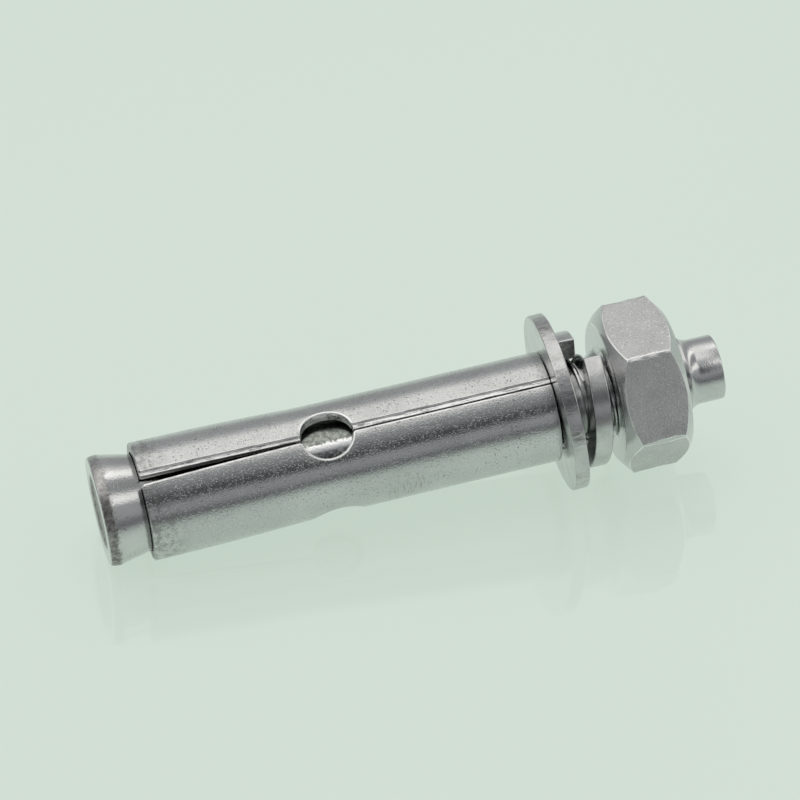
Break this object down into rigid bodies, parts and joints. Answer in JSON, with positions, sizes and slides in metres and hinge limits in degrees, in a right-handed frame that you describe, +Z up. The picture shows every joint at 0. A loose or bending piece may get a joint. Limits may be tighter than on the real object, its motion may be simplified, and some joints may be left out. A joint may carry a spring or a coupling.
{
  "type": "sleeve anchor",
  "caption": "Metal sleeve anchor: a cone-ended threaded stud in a slotted expansion sleeve, with a flat washer, a split spring washer and a hex nut.",
  "frame": {"origin": "centre of the box round the anchor, on the surface that it lies on", "axes": "+X along the anchor from the cone end to the threaded tip, +Z up"},
  "size_m": [0.0714, 0.02, 0.02],
  "materials": {
    "stud_steel": "bright turned and rolled stainless steel, polished cone",
    "sleeve_steel": "rolled stainless strip, shiny with fine scratches and specks",
    "washer_steel": "punched stainless sheet, smooth face and sheared rim",
    "spring_steel": "coiled stainless bar, satin with worn bright edges",
    "nut_steel": "cold formed stainless steel, satin flats and brighter turned chamfers"
  },
  "bodies": {
    "sleeve": {"expansion_sleeve": "sleeve_steel", "spring_washer": "spring_steel"},
    "stud": {"stud": "stud_steel"},
    "nut": {"hex_nut": "nut_steel"},
    "flat_washer": {"flat_washer": "washer_steel"}
  },
  "joints": [
    {"name": "stud_draw", "type": "slide", "parent": "sleeve", "child": "stud", "axis": [0.9979, 0, 0.0649], "range_m": [-0.0064, 0.00089]},
    {"name": "nut_turn", "type": "hinge", "parent": "sleeve", "child": "nut", "pos_m": [0.02258, 0, 0.01007], "axis": [-0.9979, 0, -0.0649], "range_deg": [-1540, 216]},
    {"name": "flat_washer_spin", "type": "hinge", "parent": "sleeve", "child": "flat_washer", "pos_m": [0.01613, 0, 0.00993], "axis": [0.9941, 0, 0.1084], "continuous": true}
  ],
  "couplings": [
    {"joint": "nut_turn", "follows": "stud_draw", "rad_per_m": 4188.8}
  ]
}
